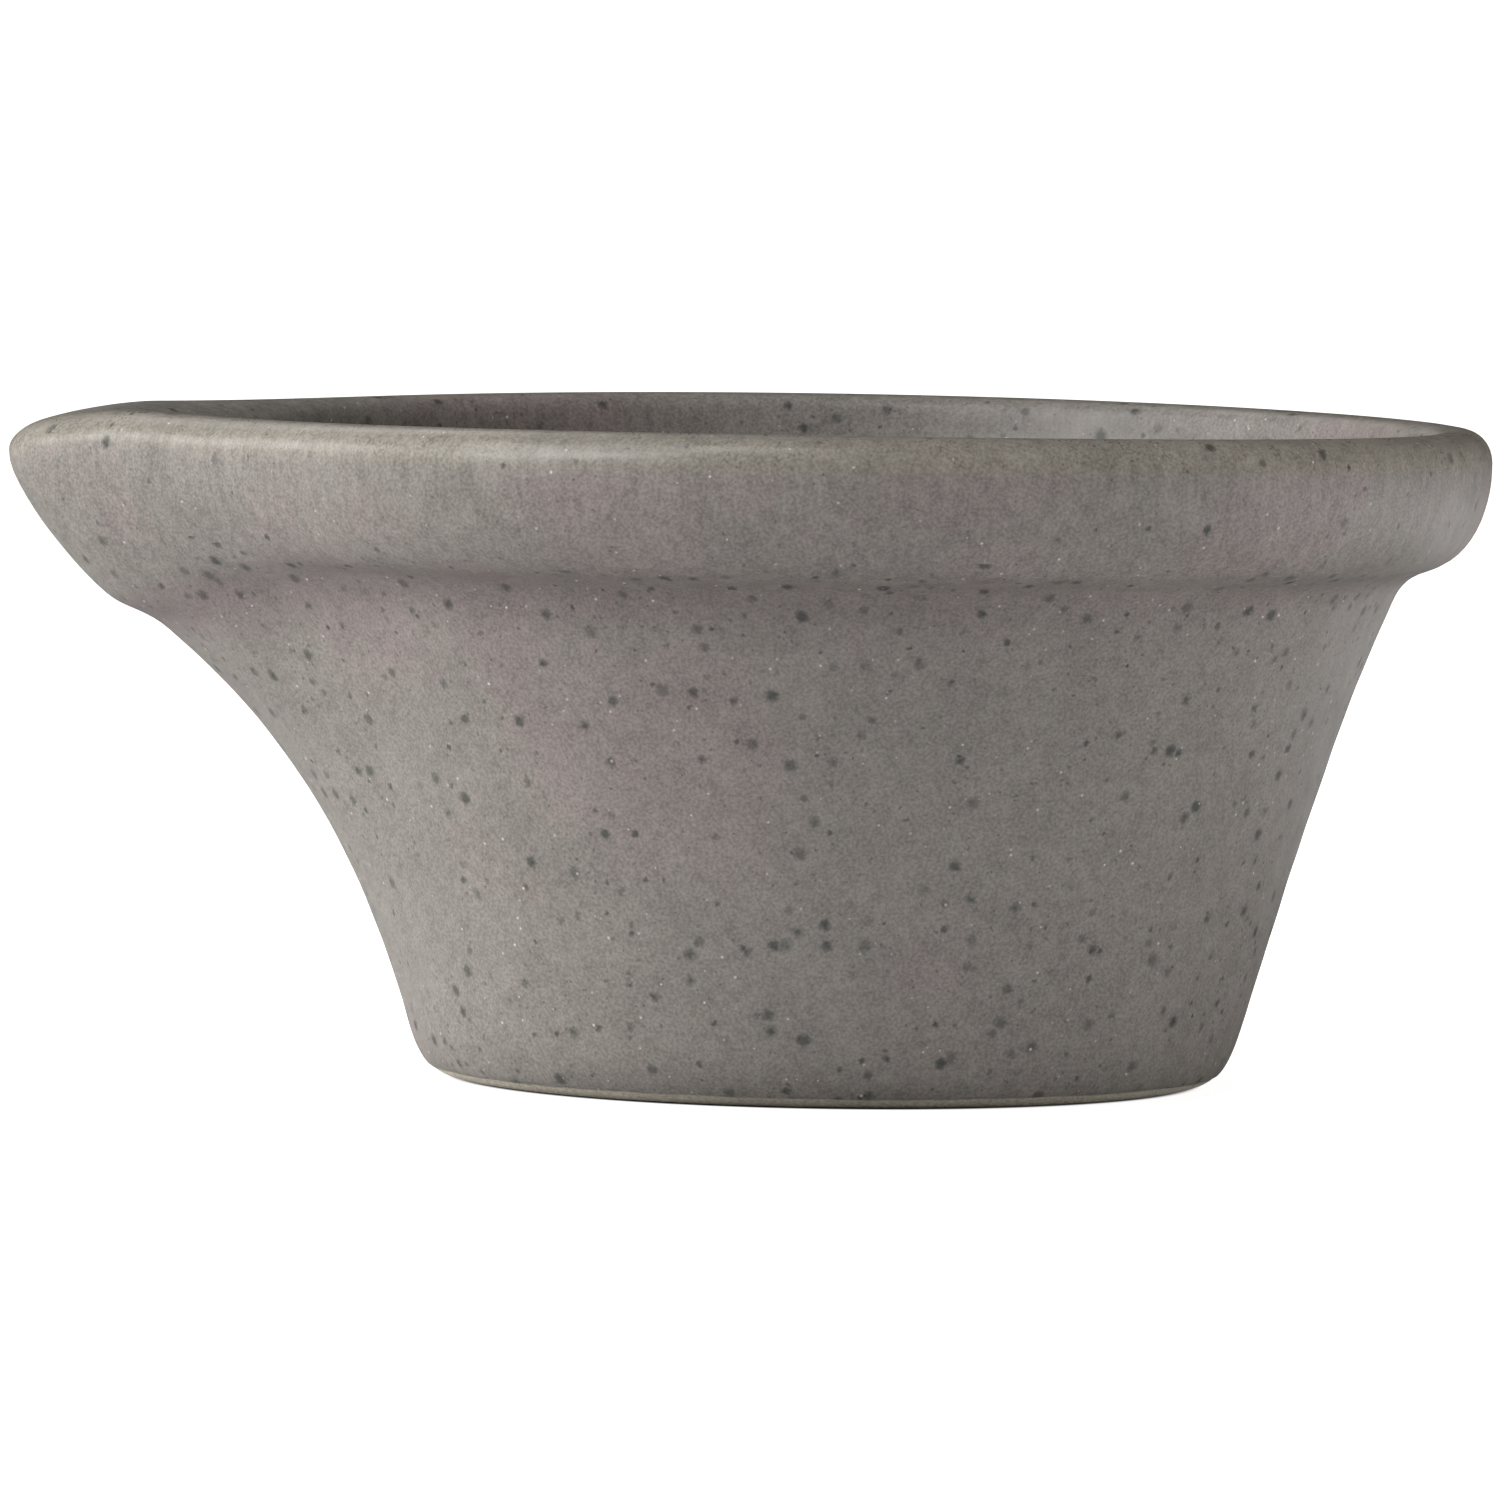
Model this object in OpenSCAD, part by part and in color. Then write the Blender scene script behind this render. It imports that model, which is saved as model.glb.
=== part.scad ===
// Spouted stoneware mortar with a collared rim, and the short pestle that rests in its bowl.
// Millimetres, +Z up. The origin is where the bowl's axis meets the table, and the spout
// points along -X. The bowl is round about its axis except where the spout draws it out.

/* [Mortar] */
// Height of the rim above the table
mortar_h = 67.4; // [65:0.2:70]
// Widest radius of the round side, on the collar
collar_r = 66.8; // [65.5:0.1:68]
// Reach of the spout's lip from the bowl's axis
spout_reach = 83.4; // [82:0.1:85]
// Width of the spout's nose, as a share of the round side's radius
nose = 0.17; // [0.15:0.01:0.2]
// How far the rim dips towards its round end and its spout
rim_dip = 0.6; // [0:0.1:1.2]
// How far the spout's tip is drawn down below the rim
tip_drop = 1.9; // [1.5:0.1:2.3]

/* [Collar] */
// Radius of the neck below the collar on the round side
neck_r = 56.5; // [55.5:0.1:57.5]
// Reach of the neck below the collar under the spout
neck_reach = 67; // [66:0.1:68]
// Depth of the collar band below the rim on the round side
collar_drop = 14.4; // [13.5:0.1:15.5]
// Depth of the collar band below the rim under the spout
spout_drop = 19.5; // [18.5:0.1:20.5]

/* [Foot] */
// Radius of the body at the top of its rounded foot
foot_r = 42.3; // [41.5:0.1:43.5]
// Outer radius of the flat ring that stands on the table
ring_outer_r = 37.5; // [36:0.1:38]
// Inner radius of that ring
ring_inner_r = 30; // [26:0.1:33]
// Depth of the recess inside the ring
recess_h = 1.2; // [0.6:0.1:2]

/* [Bowl] */
// Radius of the mouth just inside the rim on the round side
mouth_r = 59.7; // [59.2:0.1:60.2]
// Reach of the mouth just inside the spout
mouth_reach = 67.8; // [67.3:0.1:68.5]
// Height of the floor above the table
floor_z = 9.5; // [8:0.1:10]

/* [Pestle] */
// Length from the grinding end to the tip of the grip
pestle_l = 104; // [100:0.5:105]
// Radius of the round grinding end
head_r = 16; // [14:0.1:16]
// Radius of the waist behind the head
waist_r = 8.2; // [7:0.1:9]
// Radius of the grip near its tip
grip_r = 10; // [9:0.1:10.2]

/* [Quality] */
// Facets around the bowl
facets_around = 90; // [60:2:100]
// Facets around the pestle and the recess
round_fn = 96; // [48:4:128]

/* [Hidden] */

glaze_color = [0.63, 0.60, 0.57];
bare_color = [0.74, 0.68, 0.60];

// A station is [round radius, round height, spout reach, spout height, nose share]: a point of
// the outline on the round side, and its partner under the spout.
function even(r, z) = [r, z, r, z, 1];
// The same shift of a station on both sides
function both(r, z) = [r, z, r, z, 0];

// Stations where one curve hands over to the next
foot_top = even(foot_r, 5.5);
neck = [neck_r, mortar_h - collar_drop - 4.5, neck_reach, mortar_h - spout_drop - 3.2, 0.45];
band_foot = [collar_r - 5.9, mortar_h - collar_drop, spout_reach - 10.6, mortar_h - spout_drop, 0.33];
widest = [collar_r, mortar_h - 3.4, spout_reach, mortar_h - 2.2, nose + 0.04];
rim = [collar_r - 3, mortar_h, spout_reach - 3.8, mortar_h + 0.6, nose - 0.01];
mouth = [mouth_r, mortar_h - 4, mouth_reach, mortar_h - 3.8, nose - 0.03];
bowl_side = [40, floor_z + 15, 42.3, floor_z + 15, 0.7];
floor_centre = even(0, floor_z);

// Each curve is a cubic Bezier of four stations, followed by its number of steps
foot_corner = [even(ring_outer_r, 0), even(ring_outer_r + 2.2, 0.1),
               foot_top - both(1.3, 4.4), foot_top, 4];
body_flare = [foot_top, foot_top + [5.8, 20, 5.8, 20, -0.15],
              neck - [4.4, 10.4, 10, 8.5, -0.15], neck, 10];
hollow = [neck, neck + [1, 2.4, 2.3, 1.9, -0.04],
          band_foot - [2.9, 0.9, 1.7, 1.2, -0.04], band_foot, 4];
collar_swell = [band_foot, band_foot + [4.4, 1.4, 2.7, 1.9, -0.04],
                widest - [0, 4.1, 0, 5.4, -0.03], widest, 6];
collar_round = [widest, widest + [0, 2, 0, 1.9, -0.01],
                rim + [1.6, 0, 2.1, 0, 0.01], rim, 5];
rim_inside = [rim, rim + [-3.8, 0, -7, 0.1, -0.01],
              mouth + [0.8, 3.1, 0.9, 3.8, 0.005], mouth, 6];
bowl_wall = [mouth, mouth - [2.3, 8.9, 1.7, 7.1, 0],
             bowl_side + [3.5, 18, 13.7, 19, -0.3], bowl_side, 8];
bowl_floor = [bowl_side, bowl_side - [1.9, 9.5, 6.4, 9, -0.1],
              even(24, floor_z), floor_centre, 7];

outline = concat(along(foot_corner), along(body_flare), along(hollow), along(collar_swell),
                 along(collar_round), along(rim_inside), along(bowl_wall), along(bowl_floor));

// Where the resting pestle lies: its head in the corner of the floor, its grip up in the spout
lean = 17.7;
head_x = 24;
head_z = floor_z + head_r + 3.95;

function bezier(c, t) =
    pow(1 - t, 3) * c[0] + 3 * t * pow(1 - t, 2) * c[1] + 3 * t * t * (1 - t) * c[2] + pow(t, 3) * c[3];

function along(c) = [for (i = [0 : c[4] - 1]) bezier(c, i / c[4])];

// Distance from the axis, at angle a from the spout, to the band that wraps a circle of radius r
// and a smaller nose circle whose far edge is at the reach
function wrapped(a, r, reach, share) =
    let (nose_r = share * r)
    let (centre = reach - nose_r)
    let (leave = reach - r < 0.01 ? 0 : acos((r - nose_r) / centre))
    let (meet = atan2(nose_r * sin(leave), centre + nose_r * cos(leave)))
    abs(a) >= leave ? r
    : abs(a) > meet ? r / cos(leave - abs(a))
    : centre * cos(a) + sqrt(pow(nose_r, 2) - pow(centre * sin(a), 2));

// Angle of facet j, from -180 to 180 with 0 at the spout, where the facets crowd together
function angle(j) = let (a = 360 * j / facets_around - 180) a - 0.5 * sin(a) * 180 / PI;

// How far the rim sinks at angle a: a little at both ends, and more in the spout's last 11 mm
function sag(a, r) =
    rim_dip * pow(cos(a), 2) + tip_drop * pow(max(r * cos(a) - spout_reach + 14, 0) / 11, 1.7);

// The point of a station at angle a
function place(s, a) =
    let (r = wrapped(a, s[0], s[2], s[4]))
    let (drawn_out = s[2] - s[0] < 0.01 ? 0 : (r - s[0]) / (s[2] - s[0]))
    let (z = s[1] + (s[3] - s[1]) * drawn_out)
    [-r * cos(a), r * sin(a), z - sag(a, r) * pow(s[1] / mortar_h, 5)];

// Faces of the closed skin: a fan at each pole and two triangles between neighbouring points
function fan(pole, first, turn) =
    [for (j = [0 : facets_around - 1])
        let (a = first + j, b = first + (j + 1) % facets_around)
        turn ? [pole, b, a] : [pole, a, b]];

function band(first) =
    [for (j = [0 : facets_around - 1])
        let (a = first + j, b = first + (j + 1) % facets_around)
        each [[a, b, a + facets_around], [b, b + facets_around, a + facets_around]]];

module bowl() {
    rings = len(outline);
    top_pole = rings * facets_around + 1;
    last_ring = top_pole - facets_around;
    points = concat([[0, 0, 0]],
                    [for (s = outline) for (j = [0 : facets_around - 1]) place(s, angle(j))],
                    [[0, 0, floor_z]]);
    faces = concat(fan(0, 1, true),
                   [for (i = [0 : rings - 2]) each band(1 + i * facets_around)],
                   fan(top_pole, last_ring, false));
    polyhedron(points, faces, convexity = 6);
}

// Hollow under the foot, with a sloping edge
module recess() {
    edge = 1.5;
    top_r = ring_inner_r - edge;
    rotate_extrude($fn = round_fn)
        polygon([[0, -1], [ring_inner_r, -1], [ring_inner_r, 0], [top_r, recess_h], [0, recess_h]]);
}

module mortar() {
    color(glaze_color) difference() {
        bowl();
        recess();
    }
}

// The pestle on its own axis, grinding end down, with the head's centre at the origin
module pestle_solid() {
    grip_z = pestle_l - head_r - grip_r;
    waist_z = 0.48 * grip_z;
    head_leave = 40;
    head_edge = head_r * [cos(head_leave), sin(head_leave)];
    behind_head = [head_edge, head_edge + 7 * [-sin(head_leave), cos(head_leave)],
                   [waist_r, waist_z - 14], [waist_r, waist_z], 8];
    up_to_grip = [[waist_r, waist_z], [waist_r, waist_z + 16], [grip_r, grip_z - 14], [grip_r, grip_z], 8];
    head = [for (a = [-90 : 6.5 : head_leave - 6]) head_r * [cos(a), sin(a)]];
    tip = [for (a = [0 : 10 : 90]) [0, grip_z] + grip_r * [cos(a), sin(a)]];
    rotate_extrude($fn = round_fn) polygon(concat(head, along(behind_head), along(up_to_grip), tip));
}

module pestle() {
    color(bare_color) translate([head_x, 0, head_z]) rotate([0, lean - 90, 0]) pestle_solid();
}

mortar();
pestle();
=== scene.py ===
import math

import bpy
import numpy as np
from mathutils import Euler, Matrix, Vector


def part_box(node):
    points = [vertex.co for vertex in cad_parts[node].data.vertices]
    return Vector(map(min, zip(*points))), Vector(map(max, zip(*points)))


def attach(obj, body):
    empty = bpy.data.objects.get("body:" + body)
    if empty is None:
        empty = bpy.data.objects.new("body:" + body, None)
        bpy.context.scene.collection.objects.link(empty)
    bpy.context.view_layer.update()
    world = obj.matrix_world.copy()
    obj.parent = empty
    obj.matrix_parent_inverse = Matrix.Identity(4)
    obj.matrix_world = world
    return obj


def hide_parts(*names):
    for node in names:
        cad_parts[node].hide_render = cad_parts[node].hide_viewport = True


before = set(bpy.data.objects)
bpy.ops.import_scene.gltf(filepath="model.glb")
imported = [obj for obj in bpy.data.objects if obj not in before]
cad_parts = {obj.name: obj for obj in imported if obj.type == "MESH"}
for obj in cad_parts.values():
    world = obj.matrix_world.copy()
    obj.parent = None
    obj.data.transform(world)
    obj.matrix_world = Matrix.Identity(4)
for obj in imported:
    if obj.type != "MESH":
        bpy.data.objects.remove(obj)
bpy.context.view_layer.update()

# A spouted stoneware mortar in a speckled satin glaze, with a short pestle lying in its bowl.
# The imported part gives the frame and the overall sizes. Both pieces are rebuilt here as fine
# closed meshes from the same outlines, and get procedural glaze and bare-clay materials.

MM = 0.001


def smooth(low, high, x):
    """0 below low, 1 above high, and an eased slope between."""
    t = np.clip((x - low) / (high - low), 0, 1)
    return t * t * (3 - 2 * t)


# ---------------------------------------------------------------- outlines, in millimetres

box_low, box_high = (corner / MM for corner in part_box("mortar"))
MORTAR_H, COLLAR_R, SPOUT_REACH = box_high.z, box_high.x, -box_low.x
NOSE = 0.17             # radius of the spout's nose as a share of the round side's radius
RIM_DIP = 0.6           # how far the rim dips at its round end and at its spout
TIP_DROP = 1.9          # how far the spout's tip is drawn down
TIP_START, TIP_RUN = 14, 11     # how far before the tip that starts, and how soon it counts in full
FLOOR_Z = 9.5           # height of the bowl's floor
GROUND_Z = 23.0         # height of the edge of its bare grinding floor
FOOT_R, FOOT_H = 42.3, 5.5
RING_OUTER_R, RING_INNER_R, RECESS_H = 37.5, 30.0, 1.2


def station(r, z, reach, spout_z, share):
    """A point of the outline on the round side and its partner under the spout."""
    return np.array([r, z, reach, spout_z, share], float)


def even(r, z):
    """A station that is the same all the way round."""
    return station(r, z, r, z, 1)


def both(r, z):
    """The same shift of a station on both sides."""
    return station(r, z, r, z, 0)


def bezier(p, t):
    """Points of the cubic Bezier curve with control points p, at the shares t of the way along."""
    t = np.asarray(t)[:, None]
    return (1 - t) ** 3 * p[0] + 3 * t * (1 - t) ** 2 * p[1] + 3 * t * t * (1 - t) * p[2] + t ** 3 * p[3]


def bowl_curves():
    """Cubic Bezier curves of stations, from the foot ring up the outside and down into the bowl."""
    h, c, s = MORTAR_H, COLLAR_R, SPOUT_REACH
    foot_top = even(FOOT_R, FOOT_H)
    neck = station(56.5, h - 18.9, 67, h - 22.7, 0.45)
    band_foot = station(c - 5.9, h - 14.4, s - 10.6, h - 19.5, 0.33)
    widest = station(c, h - 3.4, s, h - 2.2, NOSE + 0.04)
    rim = station(c - 3, h, s - 3.8, h + 0.6, NOSE - 0.01)
    mouth = station(59.7, h - 4, 67.8, h - 3.8, NOSE - 0.03)
    side = station(40, FLOOR_Z + 15, 42.3, FLOOR_Z + 15, 0.7)
    move = station
    return [
        ("foot", [even(RING_OUTER_R, 0), even(RING_OUTER_R + 2.2, 0.1),
                  foot_top - both(1.3, 4.4), foot_top]),
        ("body", [foot_top, foot_top + move(5.8, 20, 5.8, 20, -0.15),
                  neck - move(4.4, 10.4, 10, 8.5, -0.15), neck]),
        ("hollow", [neck, neck + move(1, 2.4, 2.3, 1.9, -0.04),
                    band_foot - move(2.9, 0.9, 1.7, 1.2, -0.04), band_foot]),
        ("band", [band_foot, band_foot + move(4.4, 1.4, 2.7, 1.9, -0.04),
                  widest - move(0, 4.1, 0, 5.4, -0.03), widest]),
        ("round", [widest, widest + move(0, 2, 0, 1.9, -0.01),
                   rim + move(1.6, 0, 2.1, 0, 0.01), rim]),
        ("lip", [rim, rim + move(-3.8, 0, -7, 0.1, -0.01),
                 mouth + move(0.8, 3.1, 0.9, 3.8, 0.005), mouth]),
        ("wall", [mouth, mouth - move(2.3, 8.9, 1.7, 7.1, 0),
                  side + move(3.5, 18, 13.7, 19, -0.3), side]),
        ("floor", [side, side - move(1.9, 9.5, 6.4, 9, -0.1), even(24, FLOOR_Z), even(0, FLOOR_Z)]),
    ]


def wrapped(angle, r, reach, share):
    """Distance from the axis, at each angle from the spout, to a band wrapped round the bowl's circle
    and a smaller nose circle."""
    if reach - r < 0.01:
        return np.full(angle.shape, r)
    nose_r = share * r
    centre = reach - nose_r
    leave = math.acos((r - nose_r) / centre)
    meet = math.atan2(nose_r * math.sin(leave), centre + nose_r * math.cos(leave))
    a = np.abs(angle)
    on_nose = centre * np.cos(a) + np.sqrt(np.maximum(nose_r ** 2 - (centre * np.sin(a)) ** 2, 0))
    on_flank = r / np.cos(np.minimum(leave - a, 1.2))
    return np.where(a >= leave, r, np.where(a > meet, on_flank, on_nose))


def soften(angle, r, spread=math.radians(5)):
    """Rounds the corner where the spout's flanks leave the bowl; the nose itself stays as it is."""
    fine = np.linspace(-math.pi, math.pi, 1441)
    values = np.interp(fine, angle, r, period=2 * math.pi)
    step = fine[1] - fine[0]
    width = np.arange(-int(3 * spread / step), int(3 * spread / step) + 1) * step
    kernel = np.exp(-0.5 * (width / spread) ** 2)
    ring = np.concatenate([values[:-1]] * 3)
    eased = np.convolve(ring, kernel / kernel.sum(), "same")[1440:2880]
    eased = np.interp(angle, fine[:-1], eased, period=2 * math.pi)
    share = smooth(math.radians(16), math.radians(34), np.abs(angle))
    return r + (eased - r) * share


def ring_points(s, angle):
    """The ring of points that a station draws round the bowl."""
    r = soften(angle, wrapped(angle, s[0], s[2], s[4]))
    drawn_out = (r - s[0]) / (s[2] - s[0]) if s[2] - s[0] > 0.01 else 0 * r
    z = s[1] + (s[3] - s[1]) * drawn_out
    to_tip = np.maximum(r * np.cos(angle) - SPOUT_REACH + TIP_START, 0) / TIP_RUN
    sag = RIM_DIP * np.cos(angle) ** 2 + TIP_DROP * to_tip ** 1.7
    z = z - sag * (s[1] / MORTAR_H) ** 5
    return np.stack([-r * np.cos(angle), r * np.sin(angle), z], 1)


# ---------------------------------------------------------------- meshes

def closed_mesh(name, rings, low_pole, high_pole, marks):
    """A closed piece from rings of points, with a pole at each end; millimetres in, metres out.
    Marks are one number for each point of the rings, and go to the material."""
    count, around = rings.shape[:2]
    points = np.concatenate([[low_pole], rings.reshape(-1, 3), [high_pole]]) * MM
    faces = []
    last = 1 + (count - 1) * around
    for j in range(around):
        k = (j + 1) % around
        faces.append((0, 1 + k, 1 + j))
        for row in range(1, last, around):
            faces.append((row + j, row + k, row + around + k, row + around + j))
        faces.append((last + j, last + k, len(points) - 1))
    mesh = bpy.data.meshes.new(name)
    mesh.from_pydata(points.tolist(), [], faces)
    for key, values in marks.items():
        flat = np.concatenate([[values[0].mean()], values.ravel(), [values[-1].mean()]])
        mesh.attributes.new(key, "FLOAT", "POINT").data.foreach_set("value", flat.astype(np.float32))
    mesh.polygons.foreach_set("use_smooth", [True] * len(mesh.polygons))
    mesh.update()
    piece = bpy.data.objects.new(name, mesh)
    bpy.context.scene.collection.objects.link(piece)
    return piece


# ---------------------------------------------------------------- mortar

AROUND = 320            # points in each ring of the bowl
CROWDING = 0.45         # how much those points crowd together at the spout
RING_STEP = 1.3         # spacing of the rings along the outline, which is finer where it bends
FINE_STEP = {"foot": 0.3, "hollow": 0.8, "band": 1.0, "round": 0.4, "lip": 0.4}
GLAZE = 0.16            # thickness of the glaze, which stops short of the table
FOOT_LINE = 1.0         # height of the bare clay left under the glaze


def waves(points, size, seed, count=24):
    """Smooth random swells, about -1 to 1, whose crests are about one size apart."""
    rng = np.random.default_rng(seed)
    total = np.zeros(points.shape[:-1])
    for _ in range(count):
        way = rng.normal(size=3)
        way *= 2 * math.pi / (size * np.linalg.norm(way)) * rng.uniform(0.6, 1.5)
        total += np.sin(points @ way + rng.uniform(0, 2 * math.pi))
    return total / math.sqrt(count)


def bowl_stations():
    """The stations of the whole outline in turn, each with the name of its stretch."""
    edge = RING_INNER_R - 1.5
    under = [even(r, RECESS_H) for r in np.linspace(2, edge - 1, 14)]
    under += [even(edge, RECESS_H), even(edge + 0.6, RECESS_H - 0.4), even(RING_INNER_R - 0.4, 0.2)]
    under += [even(r, 0) for r in np.linspace(RING_INNER_R + 0.3, RING_OUTER_R - 0.5, 6)]
    found = [(s, "under") for s in under]
    for name, curve in bowl_curves():
        rough = bezier(curve, np.linspace(0, 1, 60))[:, :2]
        length = np.hypot(*np.diff(rough, axis=0).T).sum()
        steps = round(length / FINE_STEP.get(name, RING_STEP))
        found += [(s, name) for s in bezier(curve, np.arange(steps) / steps)]
    return found


def all_round(values):
    """One number for each ring, given to every point of it."""
    return np.repeat(np.asarray(values, float)[:, None], AROUND, axis=1)


def beyond(stations, name):
    """How far each station lies past the start of the named stretch, along the round side."""
    side = np.array([s[:2] for s, _ in stations])
    path = np.cumsum(np.hypot(*np.diff(side, axis=0, prepend=side[:1]).T))
    start = [stretch for _, stretch in stations].index(name)
    return path - path[start]


def make_bowl():
    around = np.linspace(math.pi, -math.pi, AROUND, endpoint=False)
    angle = around - CROWDING * np.sin(around)
    stations = bowl_stations()
    rings = np.stack([ring_points(s, angle) for s, _ in stations])
    names = np.array([name for _, name in stations])
    radius = np.hypot(rings[..., 0], rings[..., 1])
    outward = rings[..., :2] / radius[..., None]
    outside = np.isin(names, ["foot", "body", "hollow", "band", "round"])
    under = names == "under"

    # the glaze stops just above the table, and leaves a step down to the clay
    line = FOOT_LINE + 0.12 * waves(rings, 14, seed=3)
    bare_foot = 1 - smooth(-0.1, 0.1, rings[..., 2] - line)
    inset = GLAZE * np.where(outside[:, None], bare_foot, 0)
    inset[under] = GLAZE * (radius[under] > RING_OUTER_R - 1)

    # faint swells left by throwing and by the glaze
    lift = 0.05 * waves(rings, 17, seed=7) + 0.025 * waves(rings, 6, seed=8)
    lift *= smooth(3, 8, rings[..., 2])
    lift[~outside] *= 0.4
    rings[..., :2] += outward * (lift - inset)[..., None]

    # marks for the material: where the inside and collar are, where the rim's outer corner is lighter
    # (thin glaze and a painted highlight), where the hollow under the collar gets its mauve tint and
    # painted shade, and where flecks crowd
    to_rim, to_neck, up_band = (beyond(stations, name) for name in ("lip", "hollow", "band"))
    inside = np.isin(names, ["lip", "wall", "floor"])
    sparse = smooth(0, 6, up_band) * (1 - smooth(-1, 5, to_rim))
    return closed_mesh("mortar_bowl", rings, (0, 0, RECESS_H), (0, 0, FLOOR_Z), {
        "inside": all_round(inside),
        "collar": all_round(np.isin(names, ["band", "round", "lip"])),
        # the rim's outer corner, painted lighter: thin glaze, partly a painted highlight
        "edge": all_round(smooth(-6, -4, to_rim) * (1 - smooth(0.5, 3.5, to_rim))),
        # painted shade in the hollow under the collar, strongest toward the spout; the same mark also
        # gives the hollow the glaze's mauve tint
        "undercut_mauve_and_shade": all_round(np.exp(-((to_neck - 3) / 4) ** 2)) * (0.7 + 0.3 * np.cos(angle)),
        "crowd": all_round(1 + 0.4 * np.exp(-((to_neck - 3) / 5) ** 2) - 0.6 * sparse),
    })


# ---------------------------------------------------------------- pestle

PESTLE_L, HEAD_R, WAIST_R, GRIP_R = 104.0, 16.0, 8.2, 10.0
LEAN = math.radians(17.7)               # of its axis, above level
HEAD_AT = (24, 0, FLOOR_Z + HEAD_R + 3.95)
HEAD_LINE = 9.0         # how far past the head's centre its bare clay reaches


def pestle_outline():
    """Radius and height above the head's centre, from the grinding end to the tip of the grip."""
    grip_z = PESTLE_L - HEAD_R - GRIP_R
    waist_z = 0.48 * grip_z
    leave = math.radians(40)
    turn = np.radians(np.linspace(-86, 40, 30))
    head = HEAD_R * np.stack([np.cos(turn), np.sin(turn)], 1)
    ahead = head[-1] + 7 * np.array([-math.sin(leave), math.cos(leave)])
    steps = np.linspace(0, 1, 36)[1:]
    waist, grip_end = np.array([WAIST_R, waist_z]), np.array([GRIP_R, grip_z])
    behind = bezier([head[-1], ahead, waist - (0, 14), waist], steps)
    grip = bezier([waist, waist + (0, 16), grip_end - (0, 14), grip_end], steps)
    turn = np.radians(np.linspace(4, 86, 20))
    tip = np.array([0, grip_z]) + GRIP_R * np.stack([np.cos(turn), np.sin(turn)], 1)
    return np.concatenate([head, behind, grip, tip])


def set_down(points):
    """From the pestle's own axis to where the pestle lies in the bowl."""
    tilt = Matrix.Rotation(LEAN - math.pi / 2, 3, "Y")
    return points @ np.array(tilt).T + np.array(HEAD_AT)


def make_pestle():
    outline = pestle_outline()
    around = np.linspace(-math.pi, math.pi, 144, endpoint=False)
    r, along = outline[:, :1] + 0 * around, outline[:, 1:] + 0 * around
    rings = np.stack([r * np.cos(around), r * np.sin(around), along], -1)
    line = HEAD_LINE + 0.8 * waves(rings, 16, seed=21)
    bare = 1 - smooth(-0.3, 0.3, along - line)
    lift = -0.06 + 0.05 * waves(rings, 15, seed=22) - GLAZE * bare
    rings[..., :2] *= 1 + (lift / r)[..., None]
    poles = set_down(np.array([[0, 0, 0.1 - HEAD_R], [0, 0, PESTLE_L - HEAD_R - 0.1]]))
    return closed_mesh("pestle_grinder", set_down(rings), *poles, {"past_line": along - line})


# ---------------------------------------------------------------- materials

class Graph:
    """A material's node tree, with short calls that add a node and join its inputs."""

    def __init__(self, name):
        self.material = bpy.data.materials.new(name)
        self.material.use_nodes = True
        self.nodes, self.links = self.material.node_tree.nodes, self.material.node_tree.links
        self.shader = self.nodes["Principled BSDF"]

    def join(self, value, socket):
        if isinstance(value, bpy.types.NodeSocket):
            self.links.new(value, socket)
        else:
            socket.default_value = value

    def add(self, kind, settings, *inputs):
        node = self.nodes.new("ShaderNode" + kind)
        for key, value in settings.items():
            setattr(node, key, value)
        for key, value in inputs:
            self.join(value, node.inputs[key])
        return node

    def math(self, kind, a, b=0.0):
        return self.add("Math", {"operation": kind}, (0, a), (1, b)).outputs[0]

    def times(self, a, b):
        return self.math("MULTIPLY", a, b)

    def plus(self, a, b):
        return self.math("ADD", a, b)

    def mark(self, name):
        """A number that the mesh carries at each of its points."""
        return self.add("Attribute", {"attribute_name": name}).outputs["Fac"]

    def place(self):
        """The point in millimetres, in the piece's own frame."""
        point = self.add("TexCoord", {}).outputs["Object"]
        return self.add("VectorMath", {"operation": "SCALE"}, (0, point), ("Scale", 1 / MM)).outputs[0]

    def stretch(self, where, scale):
        """The place times a factor in each direction: under 1 draws a pattern out, over 1 packs it."""
        return self.add("VectorMath", {"operation": "MULTIPLY"}, (0, where), (1, scale)).outputs[0]

    def noise(self, where, size, detail=2.0, rough=0.5):
        """Smooth noise about 0 to 1, with features of one size in millimetres."""
        return self.add("TexNoise", {}, ("Vector", where), ("Scale", 1 / size), ("Detail", detail),
                        ("Roughness", rough)).outputs[0]

    def slope(self, value, low, high, first=0.0, last=1.0):
        """From first to last as the value goes from low to high, eased at both ends."""
        return self.add("MapRange", {"interpolation_type": "SMOOTHSTEP"}, (0, value), (1, low), (2, high),
                        (3, first), (4, last)).outputs[0]

    def mix(self, share, a, b, kind="MIX"):
        node = self.add("Mix", {"data_type": "RGBA", "blend_type": kind}, (0, share), (6, a), (7, b))
        return node.outputs[2]

    def gray(self, value):
        return self.add("CombineColor", {}, (0, value), (1, value), (2, value)).outputs[0]

    def flecks(self, where, spacing, radii, share, soft, strength):
        """Round flecks with soft rims at random places, 0 outside them and up to the strength inside."""
        cell = self.add("TexVoronoi", {}, ("Vector", where), ("Scale", 1 / spacing))
        luck = self.add("SeparateColor", {}, (0, cell.outputs["Color"])).outputs
        radius = self.slope(luck[1], 0, 1, radii[0] / spacing, radii[1] / spacing)
        reach = self.math("DIVIDE", cell.outputs["Distance"], radius)
        depth = self.slope(luck[2], 0, 1, strength[0], strength[1])
        there = self.times(self.math("LESS_THAN", luck[0], share), depth)
        return self.times(self.slope(reach, 1, soft), there)

    def finish(self, color, roughness, height):
        """Joins the coat to the shader, with its height in millimetres as bump."""
        self.join(color, self.shader.inputs["Base Color"])
        self.join(roughness, self.shader.inputs["Roughness"])
        bumps = self.add("Bump", {}, ("Strength", 1.0), ("Distance", MM), ("Height", height))
        self.join(bumps.outputs[0], self.shader.inputs["Normal"])
        return self.material


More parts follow.
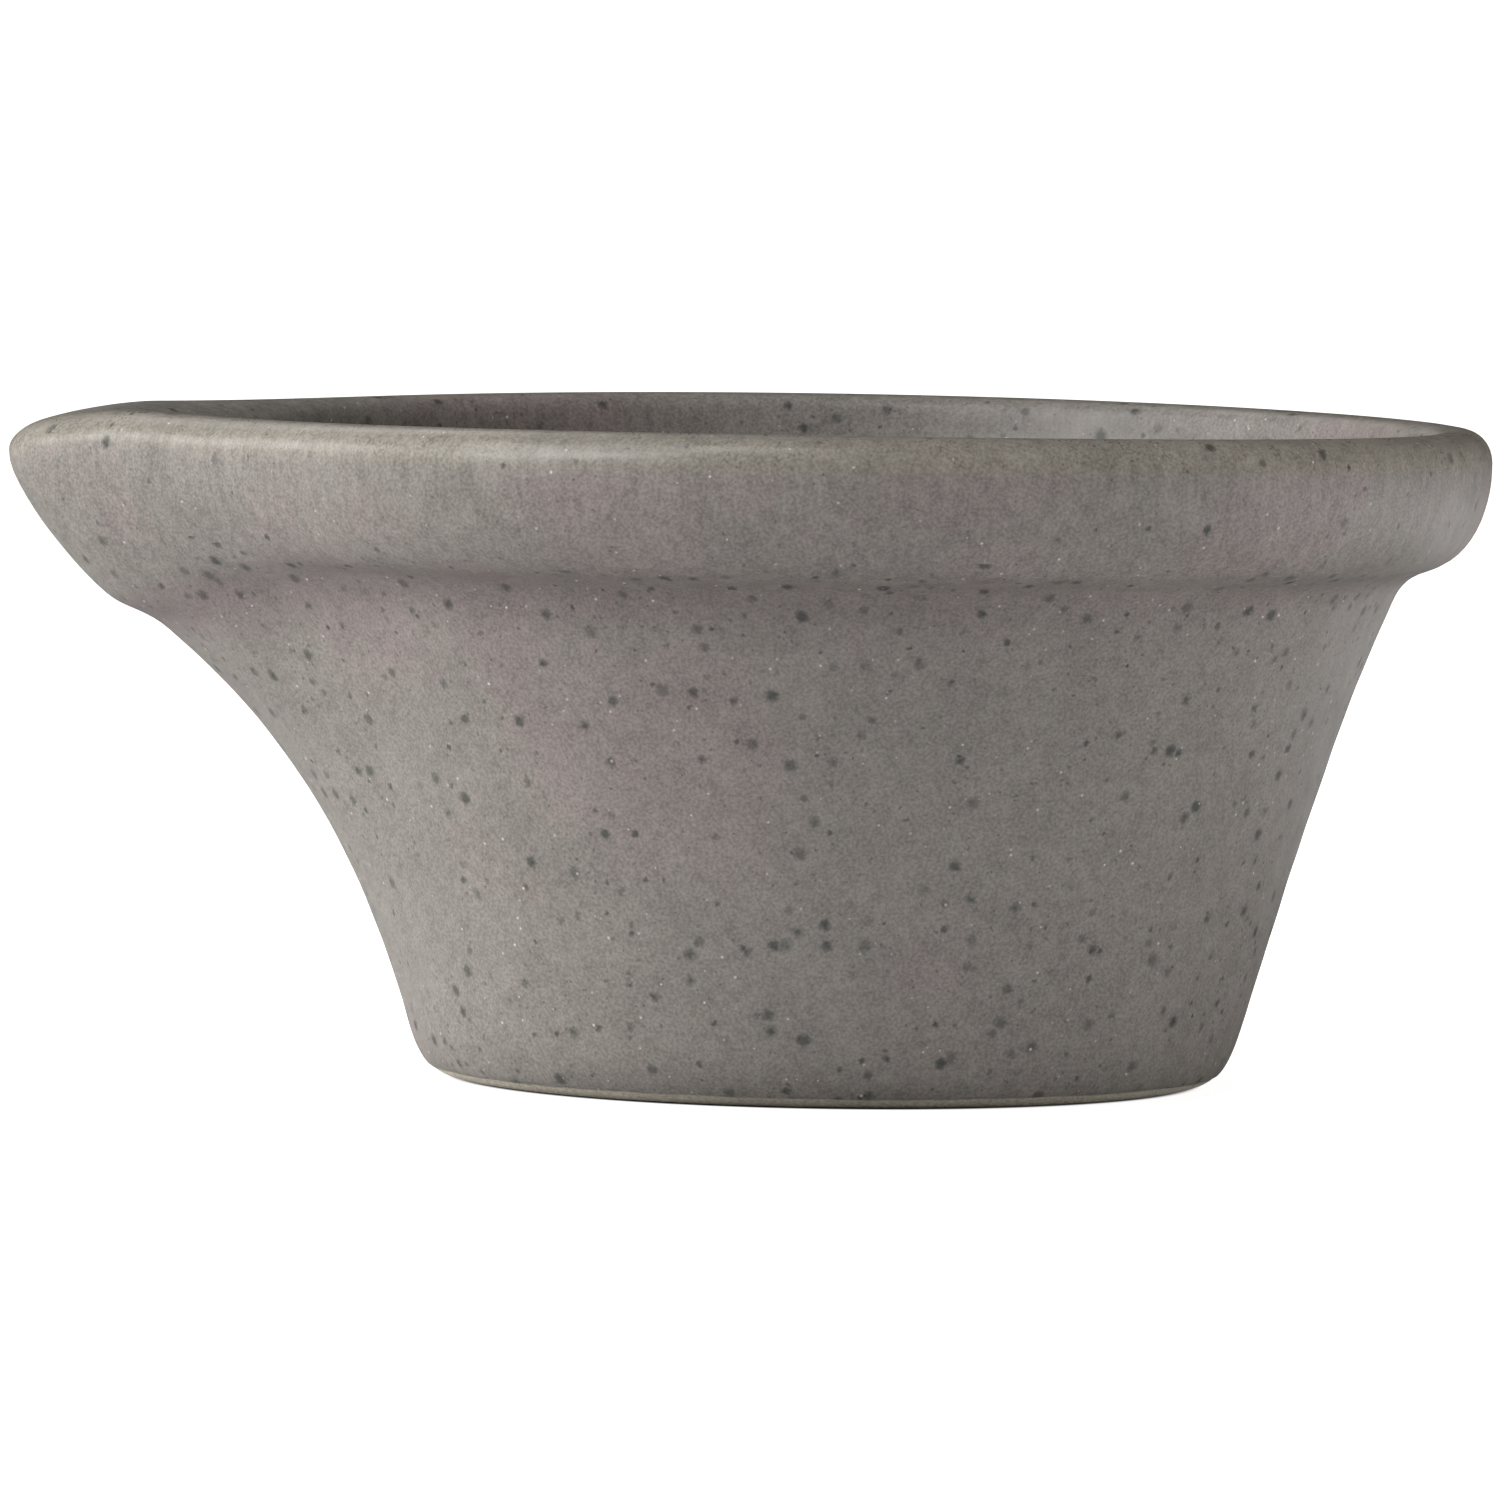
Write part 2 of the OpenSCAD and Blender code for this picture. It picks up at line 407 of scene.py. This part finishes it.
GREEN_GREY = (0.270, 0.250, 0.227, 1)
MAUVE = (0.291, 0.250, 0.236, 1)
# lighter beige of the rim's outer corner: thin glaze, partly a painted highlight
THIN_GLAZE_AND_HIGHLIGHT = (0.307, 0.281, 0.240, 1)
UNDERCUT_SHADE = (0.79, 0.77, 0.78, 1)          # painted shade: what the hollow under the collar leaves of the glaze's colour
IRON = (0.30, 0.34, 0.335, 1)           # what an iron fleck leaves of the glaze's colour
IRON_BROWN = (0.52, 0.46, 0.45, 1)
PALE_FLECK = (0.70, 0.63, 0.60, 1)
CLAY = (0.62, 0.57, 0.475, 1)

# Soft mauve clouds on the bowl: where each is and how far it reaches, in millimetres
CLOUDS = [((-16, -47, 36), 19), ((-20, -62, 60), 17), ((12, -64, 64), 15), ((52, -42, 33), 13),
          ((45, -50, 65), 14), ((-50, -38, 50), 13), ((-34, -50, 50), 12), ((20, 52, 40), 22),
          ((-34, 50, 62), 24), ((56, 25, 60), 16)]


def glaze(g, where, clouds, crowd, edge, undercut_mauve_and_shade, collar):
    """Speckled satin glaze: its colour, roughness and height in millimetres."""
    drift = g.noise(where, 17, 3)
    mauve = g.slope(drift, 0.54, 0.74)
    for centre, reach in clouds:
        away = g.add("VectorMath", {"operation": "DISTANCE"}, (0, where), (1, centre)).outputs["Value"]
        away = g.plus(away, g.times(g.plus(drift, -0.5), 34))
        mauve = g.math("MAXIMUM", mauve, g.slope(away, reach, reach * 0.35))
    mauve = g.math("MAXIMUM", mauve, undercut_mauve_and_shade)
    color = g.mix(mauve, GREEN_GREY, MAUVE)
    # painted shade: the glaze is darkened in the hollow under the collar
    color = g.mix(undercut_mauve_and_shade, color, g.mix(1.0, color, UNDERCUT_SHADE, "MULTIPLY"))
    # the rim's outer corner turns a lighter beige: thin glaze, partly a painted highlight
    color = g.mix(edge, color, THIN_GLAZE_AND_HIGHLIGHT)

    # broad and fine tone, then grain of two tints
    tone = g.slope(g.noise(where, 7), 0.3, 0.7, 0.95, 1.05)
    tone = g.plus(tone, g.slope(g.noise(where, 1.5), 0.3, 0.7, -0.07, 0.07))
    grain = g.slope(g.noise(where, 0.32, 1), 0.25, 0.75, -0.2, 0.2)
    streaks = g.noise(g.stretch(where, (1, 1, 0.09)), 0.9, 2)
    streaks = g.times(g.slope(streaks, 0.3, 0.7, -0.07, 0.07), collar)
    color = g.mix(1.0, color, g.gray(g.plus(g.plus(tone, grain), streaks)), "MULTIPLY")
    tint = g.slope(g.noise(g.stretch(where, (1, 1, 1.1)), 0.45, 1), 0.3, 0.7)
    color = g.mix(1.0, color, g.mix(tint, (0.985, 1.01, 0.985, 1), (1.02, 0.985, 1.01, 1)), "MULTIPLY")

    # iron flecks from rare blots to a fine pepper, with ragged edges
    push = g.add("TexNoise", {}, ("Vector", where), ("Scale", 2.2), ("Detail", 1.0)).outputs["Color"]
    push = g.stretch(push, (0.55, 0.55, 0.55))
    push = g.add("VectorMath", {"operation": "ADD"}, (0, push), (1, where)).outputs[0]
    few = g.times(crowd, crowd)
    blots = g.flecks(push, 2.8, (0.55, 1.02), g.times(few, 0.72), 0.3, (0.6, 1.0))
    spots = g.flecks(push, 1.8, (0.26, 0.48), g.times(crowd, 0.5), 0.25, (0.55, 1.0))
    haze = g.flecks(push, 2.4, (0.6, 1.0), g.times(few, 0.3), 0.0, (0.12, 0.35))
    dark = g.math("MAXIMUM", blots, g.math("MAXIMUM", spots, haze))
    color = g.mix(dark, color, g.mix(1.0, color, IRON, "MULTIPLY"))
    brown = g.flecks(push, 1.35, (0.17, 0.3), g.times(crowd, 0.5), 0.2, (0.6, 1.0))
    pepper = g.flecks(where, 0.75, (0.13, 0.22), g.times(crowd, 0.8), 0.0, (0.45, 1.0))
    color = g.mix(g.math("MAXIMUM", brown, pepper), color, g.mix(1.0, color, IRON_BROWN, "MULTIPLY"))
    smears = g.flecks(g.stretch(push, (1, 1, 0.34)), 5.2, (0.3, 0.62), 0.16, 0.0, (0.3, 0.6))
    color = g.mix(g.times(smears, collar), color, g.mix(1.0, color, IRON, "MULTIPLY"))
    share = g.plus(g.times(crowd, 0.6), 0.06)
    pale = g.flecks(where, 1.55, (0.14, 0.23), share, 0.35, (0.5, 1.0))
    color = g.mix(pale, color, PALE_FLECK)

    rough = g.slope(g.noise(where, 3), 0.3, 0.7, 0.40, 0.50)
    rough = g.plus(g.plus(rough, g.times(grain, 0.3)), g.times(edge, -0.1))
    peel = g.times(g.noise(where, 1.1, 1), 0.035)
    height = g.plus(peel, g.times(g.noise(where, 0.3, 1), 0.016))
    height = g.plus(g.times(height, g.slope(edge, 0, 1, 1.0, 0.4)), g.times(dark, -0.012))
    return color, rough, height


def bare_clay(g, where):
    """Unglazed stoneware: warm, dry and sandy, with grog in it."""
    sand = g.noise(where, 0.45, 2, 0.6)
    tone = g.plus(g.slope(g.noise(where, 8), 0.3, 0.7, 0.95, 1.03), g.slope(sand, 0.3, 0.7, -0.17, 0.17))
    color = g.mix(1.0, CLAY, g.gray(tone), "MULTIPLY")
    grog = g.flecks(where, 1.5, (0.16, 0.42), 0.6, 0.3, (0.4, 0.9))
    color = g.mix(grog, color, g.mix(1.0, color, IRON_BROWN, "MULTIPLY"))
    return color, g.slope(sand, 0.3, 0.7, 0.78, 0.92), g.times(sand, 0.09)


def blend_coats(g, share, first, second):
    """The second coat over the first, by the share. A coat is a colour, a roughness and a height."""
    color = g.mix(share, first[0], second[0])
    rough = g.plus(g.times(first[1], g.math("SUBTRACT", 1.0, share)), g.times(second[1], share))
    height = g.plus(g.times(first[2], g.math("SUBTRACT", 1.0, share)), g.times(second[2], share))
    return color, rough, height


def bowl_material():
    g = Graph("speckled_glaze")
    where = g.place()
    z = g.add("SeparateXYZ", {}, (0, where)).outputs[2]
    ragged = g.plus(g.noise(where, 6, 3), -0.5)
    inside, collar = g.mark("inside"), g.mark("collar")
    coat = glaze(g, where, CLOUDS, g.mark("crowd"), g.mark("edge"), g.mark("undercut_mauve_and_shade"), collar)
    # the clay is bare on the foot, and on the floor where the pestle works
    foot_edge = g.plus(z, g.times(ragged, -0.35))
    bare_foot = g.times(g.slope(foot_edge, FOOT_LINE + 0.08, FOOT_LINE - 0.08), g.slope(inside, 0.6, 0.4))
    floor_edge = g.plus(z, g.times(ragged, 2.2))
    bare_floor = g.times(g.slope(floor_edge, GROUND_Z + 0.4, GROUND_Z - 0.4), g.slope(inside, 0.4, 0.6))
    bare = g.math("MAXIMUM", bare_foot, bare_floor)
    return g.finish(*blend_coats(g, bare, coat, bare_clay(g, where)))


def pestle_material():
    g = Graph("pestle_stoneware")
    where = g.place()
    coat = glaze(g, where, [], 0.8, 0.0, 0.0, 0.0)
    edge = g.plus(g.mark("past_line"), g.times(g.plus(g.noise(where, 4, 3), -0.5), 0.6))
    return g.finish(*blend_coats(g, g.slope(edge, 0.15, -0.15), coat, bare_clay(g, where)))


# ---------------------------------------------------------------- stage, light and camera

# The sweep: the side it lies on, and how bright it is near the bowl and far off
SWEEP = [((1, 0, 0), 0.07, 1.27), ((-1, 0, 0), 0.23, 0.0), ((0, -1, 0), 0.39, 0.0)]


def add_floor():
    """A pale floor. The camera sees it glow white, so that it fades into the backdrop, save for a thin
    dark line under the foot. It also gives off light, differently on each side, which stands for a
    studio sweep and lights the bowl from below, most of it from the right."""
    g = Graph("studio_floor")
    g.join((0.45, 0.45, 0.45, 1), g.shader.inputs["Base Color"])
    g.join(1.0, g.shader.inputs["Roughness"])
    g.join(0.0, g.shader.inputs["Specular IOR Level"])
    where = g.place()
    away = g.add("VectorMath", {"operation": "LENGTH"}, (0, where)).outputs["Value"]
    seen = g.plus(g.slope(away, 37.2, 38.6, 0.0, 0.93), g.slope(away, 38, 60, 0.0, 0.3))
    far = g.slope(away, 120, 220)
    sweep = 0.0
    for side, near_glow, far_glow in SWEEP:
        toward = g.add("VectorMath", {"operation": "DOT_PRODUCT"}, (0, where), (1, side)).outputs["Value"]
        toward = g.math("MAXIMUM", g.math("DIVIDE", toward, g.plus(away, 1.0)), 0.0)
        glow = g.times(g.slope(far, 0, 1, near_glow, far_glow), g.times(toward, toward))
        sweep = g.plus(glow, sweep)
    sweep = g.times(sweep, g.times(g.slope(away, 40, 65), g.slope(away, 800, 500)))
    camera_ray = g.add("LightPath", {}).outputs["Is Camera Ray"]
    g.join(g.mix(camera_ray, g.gray(sweep), g.gray(seen)), g.shader.inputs["Emission Color"])
    g.join(1.0, g.shader.inputs["Emission Strength"])
    bpy.ops.mesh.primitive_plane_add(size=12, location=(0, 0, -0.0001))
    floor = bpy.context.object
    floor.name = "floor"
    floor.data.materials.append(g.material)


def add_camera():
    """A long lens 1.4 m away, looking down by a few degrees and turned by about one."""
    data = bpy.data.cameras.new("camera")
    data.sensor_width = 36
    data.lens = 331.7
    data.clip_start, data.clip_end = 0.1, 20
    camera = bpy.data.objects.new("camera", data)
    pitch, roll = math.radians(3.33), math.radians(0.9)
    turn = Euler((math.pi / 2 - pitch, 0, 0)).to_matrix() @ Matrix.Rotation(roll, 3, "Z")
    camera.matrix_world = Matrix.Translation((-0.00792, -1.4, 0.11459)) @ turn.to_4x4()
    bpy.context.scene.collection.objects.link(camera)
    bpy.context.scene.camera = camera


def set_world(strength):
    """A white backdrop to the camera, and a faint even light to the rest."""
    world = bpy.data.worlds.new("studio")
    world.use_nodes = True
    nodes, links = world.node_tree.nodes, world.node_tree.links
    backdrop, path = nodes["Background"], nodes.new("ShaderNodeLightPath")
    level = nodes.new("ShaderNodeMapRange")
    level.inputs["To Min"].default_value = strength
    level.inputs["To Max"].default_value = 1.1
    links.new(path.outputs["Is Camera Ray"], level.inputs["Value"])
    links.new(level.outputs[0], backdrop.inputs["Strength"])
    backdrop.inputs["Color"].default_value = (1, 1, 1, 1)
    bpy.context.scene.world = world


def add_light(name, azimuth, height, power, size, shines=True):
    """A soft box aimed at the bowl; azimuth 0 is the spout's side and 90 the camera's. One that
    doesn't shine is a fill, with no reflection of its own in the glaze."""
    aim = Vector((0, 0, AIM_Z))
    a, h = math.radians(azimuth), math.radians(height)
    away = Vector((-math.cos(a) * math.cos(h), -math.sin(a) * math.cos(h), math.sin(h)))
    data = bpy.data.lights.new(name, "AREA")
    data.shape = "RECTANGLE"
    data.size, data.size_y = size
    data.energy = power
    lamp = bpy.data.objects.new(name, data)
    lamp.location = aim + LIGHT_REACH * away
    lamp.rotation_euler = away.to_track_quat("Z", "Y").to_euler()
    lamp.visible_glossy = shines
    bpy.context.scene.collection.objects.link(lamp)


def dress(piece, material, body, node):
    """Gives a piece its material and its body, and hides the CAD node that it stands for."""
    piece.data.materials.append(material)
    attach(piece, body)
    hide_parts(node)


dress(make_bowl(), bowl_material(), "mortar", "mortar")
dress(make_pestle(), pestle_material(), "pestle", "pestle")

add_floor()
LIGHT_REACH, AIM_Z = 1.6, 0.032     # how far off the lights stand, and the height they aim at
PANEL, STRIP = (0.6, 0.5), (0.8, 0.12)
add_light("key", 20, 45, 3.8, PANEL)
add_light("front_left", 45, 32, 6.5, PANEL)
add_light("left", 350, 20, 5.0, PANEL)
add_light("side_left", 30, 20, 5.0, PANEL)
add_light("high_front", 60, 60, 4.3, PANEL)
add_light("high_back_left", 300, 45, 1.8, PANEL)
add_light("low_left", 0, 2, 7.6, STRIP, shines=False)
add_light("low_back_left", 330, 2, 14.0, STRIP, shines=False)
add_light("low_right", 180, 2, 9.0, STRIP, shines=False)
add_light("low_front_right", 150, 2, 2.4, STRIP, shines=False)
set_world(0.012)
add_camera()
bpy.context.scene.view_settings.view_transform = "Standard"
